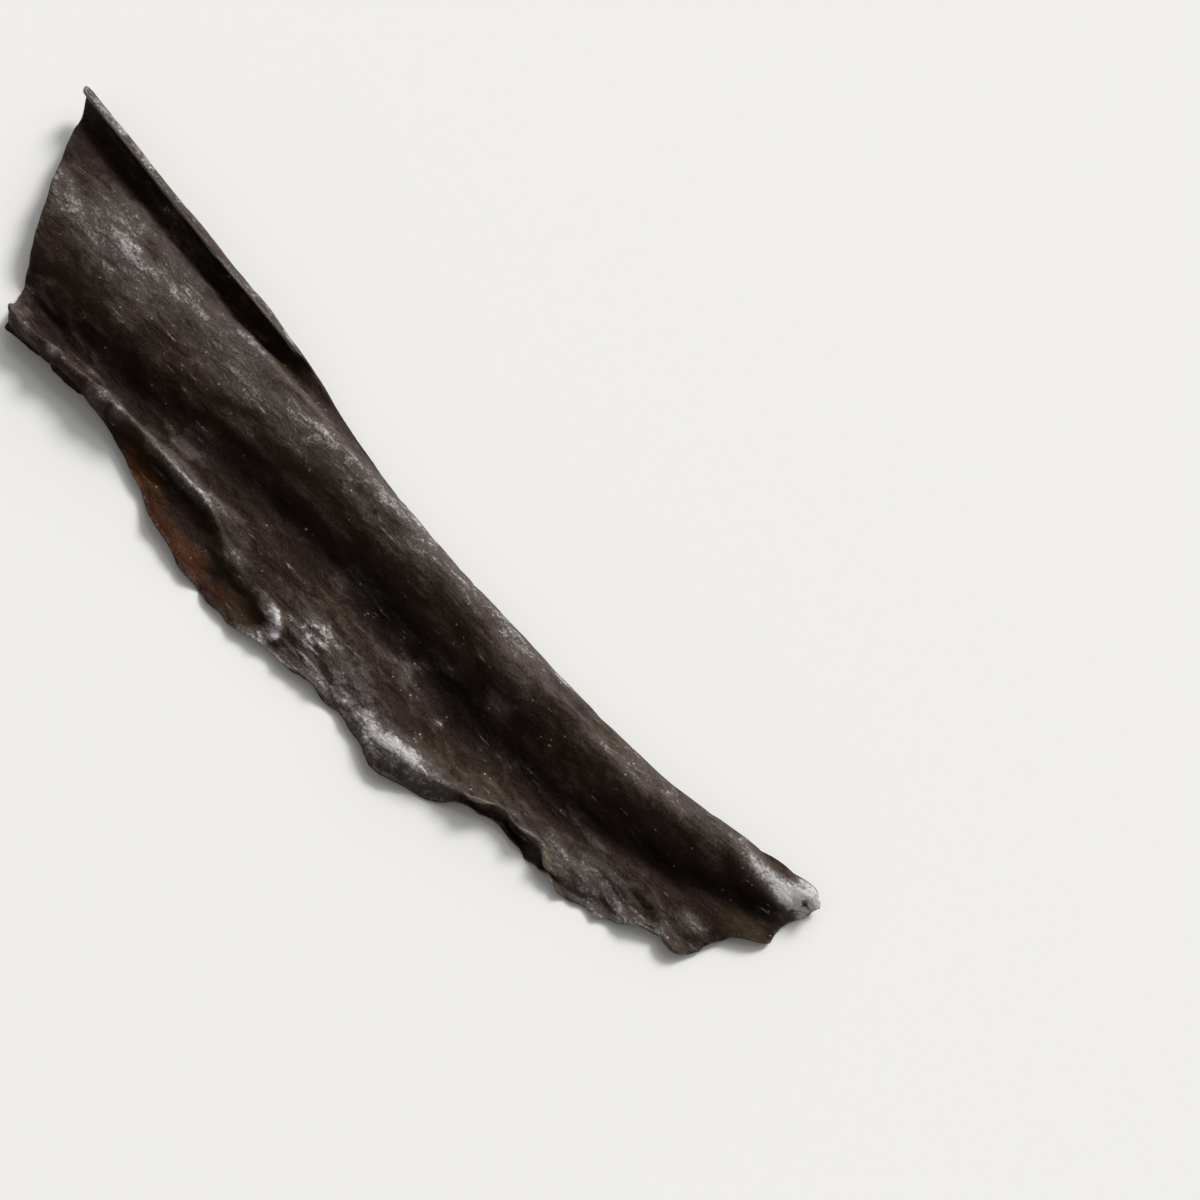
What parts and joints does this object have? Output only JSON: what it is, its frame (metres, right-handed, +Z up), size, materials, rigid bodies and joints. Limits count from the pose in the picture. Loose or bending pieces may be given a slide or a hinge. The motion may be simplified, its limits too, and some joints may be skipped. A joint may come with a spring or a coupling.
{
  "type": "dried kelp strip",
  "caption": "A long dark strip of dried kelp with an upright lip, a rounded ridge, a valley and a ruffled thinner margin, dusted with pale frost",
  "frame": {"origin": "the centre of the underside of the strip's box, on the surface it lies on", "axes": "+X runs along the strip from its cut end to its free end, +Y runs across it to the side with the upright lip, +Z is up"},
  "size_m": [0.3486, 0.0878, 0.0138],
  "materials": {
    "dried_kelp": "matte brown-black dried blade with patchy grey-lilac frost"
  },
  "bodies": {
    "root": {"kelp_strip": "dried_kelp"}
  },
  "joints": []
}
